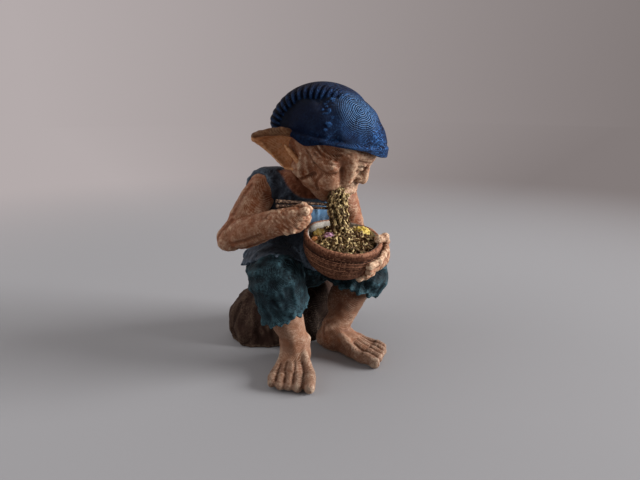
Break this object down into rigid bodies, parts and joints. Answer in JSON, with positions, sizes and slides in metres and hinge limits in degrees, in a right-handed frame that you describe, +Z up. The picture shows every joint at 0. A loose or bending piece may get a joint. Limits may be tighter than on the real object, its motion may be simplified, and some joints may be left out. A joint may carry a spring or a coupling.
{
  "type": "goblin figurine",
  "caption": "Seated goblin figurine on a stone, in a gathered cap, vest and ragged shorts, lifting noodles from a bowl with chopsticks; a free-standing ornament.",
  "frame": {"origin": "on the floor at the stone's flat underside, under the middle of the seat", "axes": "+Z up, the figure's body faces -Y, +X towards the figure's left hand"},
  "size_m": [0.0634, 0.0671, 0.1008],
  "materials": {
    "stone_paint": "brown paint over printed ridges, dry-brushed paler",
    "shorts_paint": "dark teal paint, dry-brushed paler on the edges",
    "vest_paint": "slate blue paint, matt",
    "skin_paint": "tan paint with a darker wash in the creases",
    "cap_paint": "dark blue paint with a slight sheen and pale specks on the layer lines",
    "bowl_paint": "red-brown paint, dry-brushed paler in rings",
    "noodle_paint": "ochre and cream paint over a brown wash",
    "topping_paint": "yellow, orange and pink paint",
    "stick_paint": "dark brown paint",
    "bare_plastic": "unpainted"
  },
  "bodies": {
    "root": {"stone": "stone_paint", "shorts_seat": "shorts_paint", "shorts_right_leg": "shorts_paint", "shorts_left_leg": "shorts_paint", "right_leg": "skin_paint", "left_leg": "skin_paint", "vest": "vest_paint", "head": "skin_paint", "right_ear": "skin_paint", "left_ear": "skin_paint", "cap": "cap_paint", "cap_roll": "cap_paint", "right_upper_arm": "skin_paint", "right_forearm": "skin_paint", "right_hand": "skin_paint", "left_upper_arm": "skin_paint", "left_forearm": "skin_paint", "left_hand": "skin_paint", "bowl": "bowl_paint", "noodle_mound": "noodle_paint", "lifted_noodles": "noodle_paint", "toppings": "topping_paint", "upper_chopstick": "stick_paint", "lower_chopstick": "stick_paint", "joint_pins": "bare_plastic"}
  },
  "joints": []
}
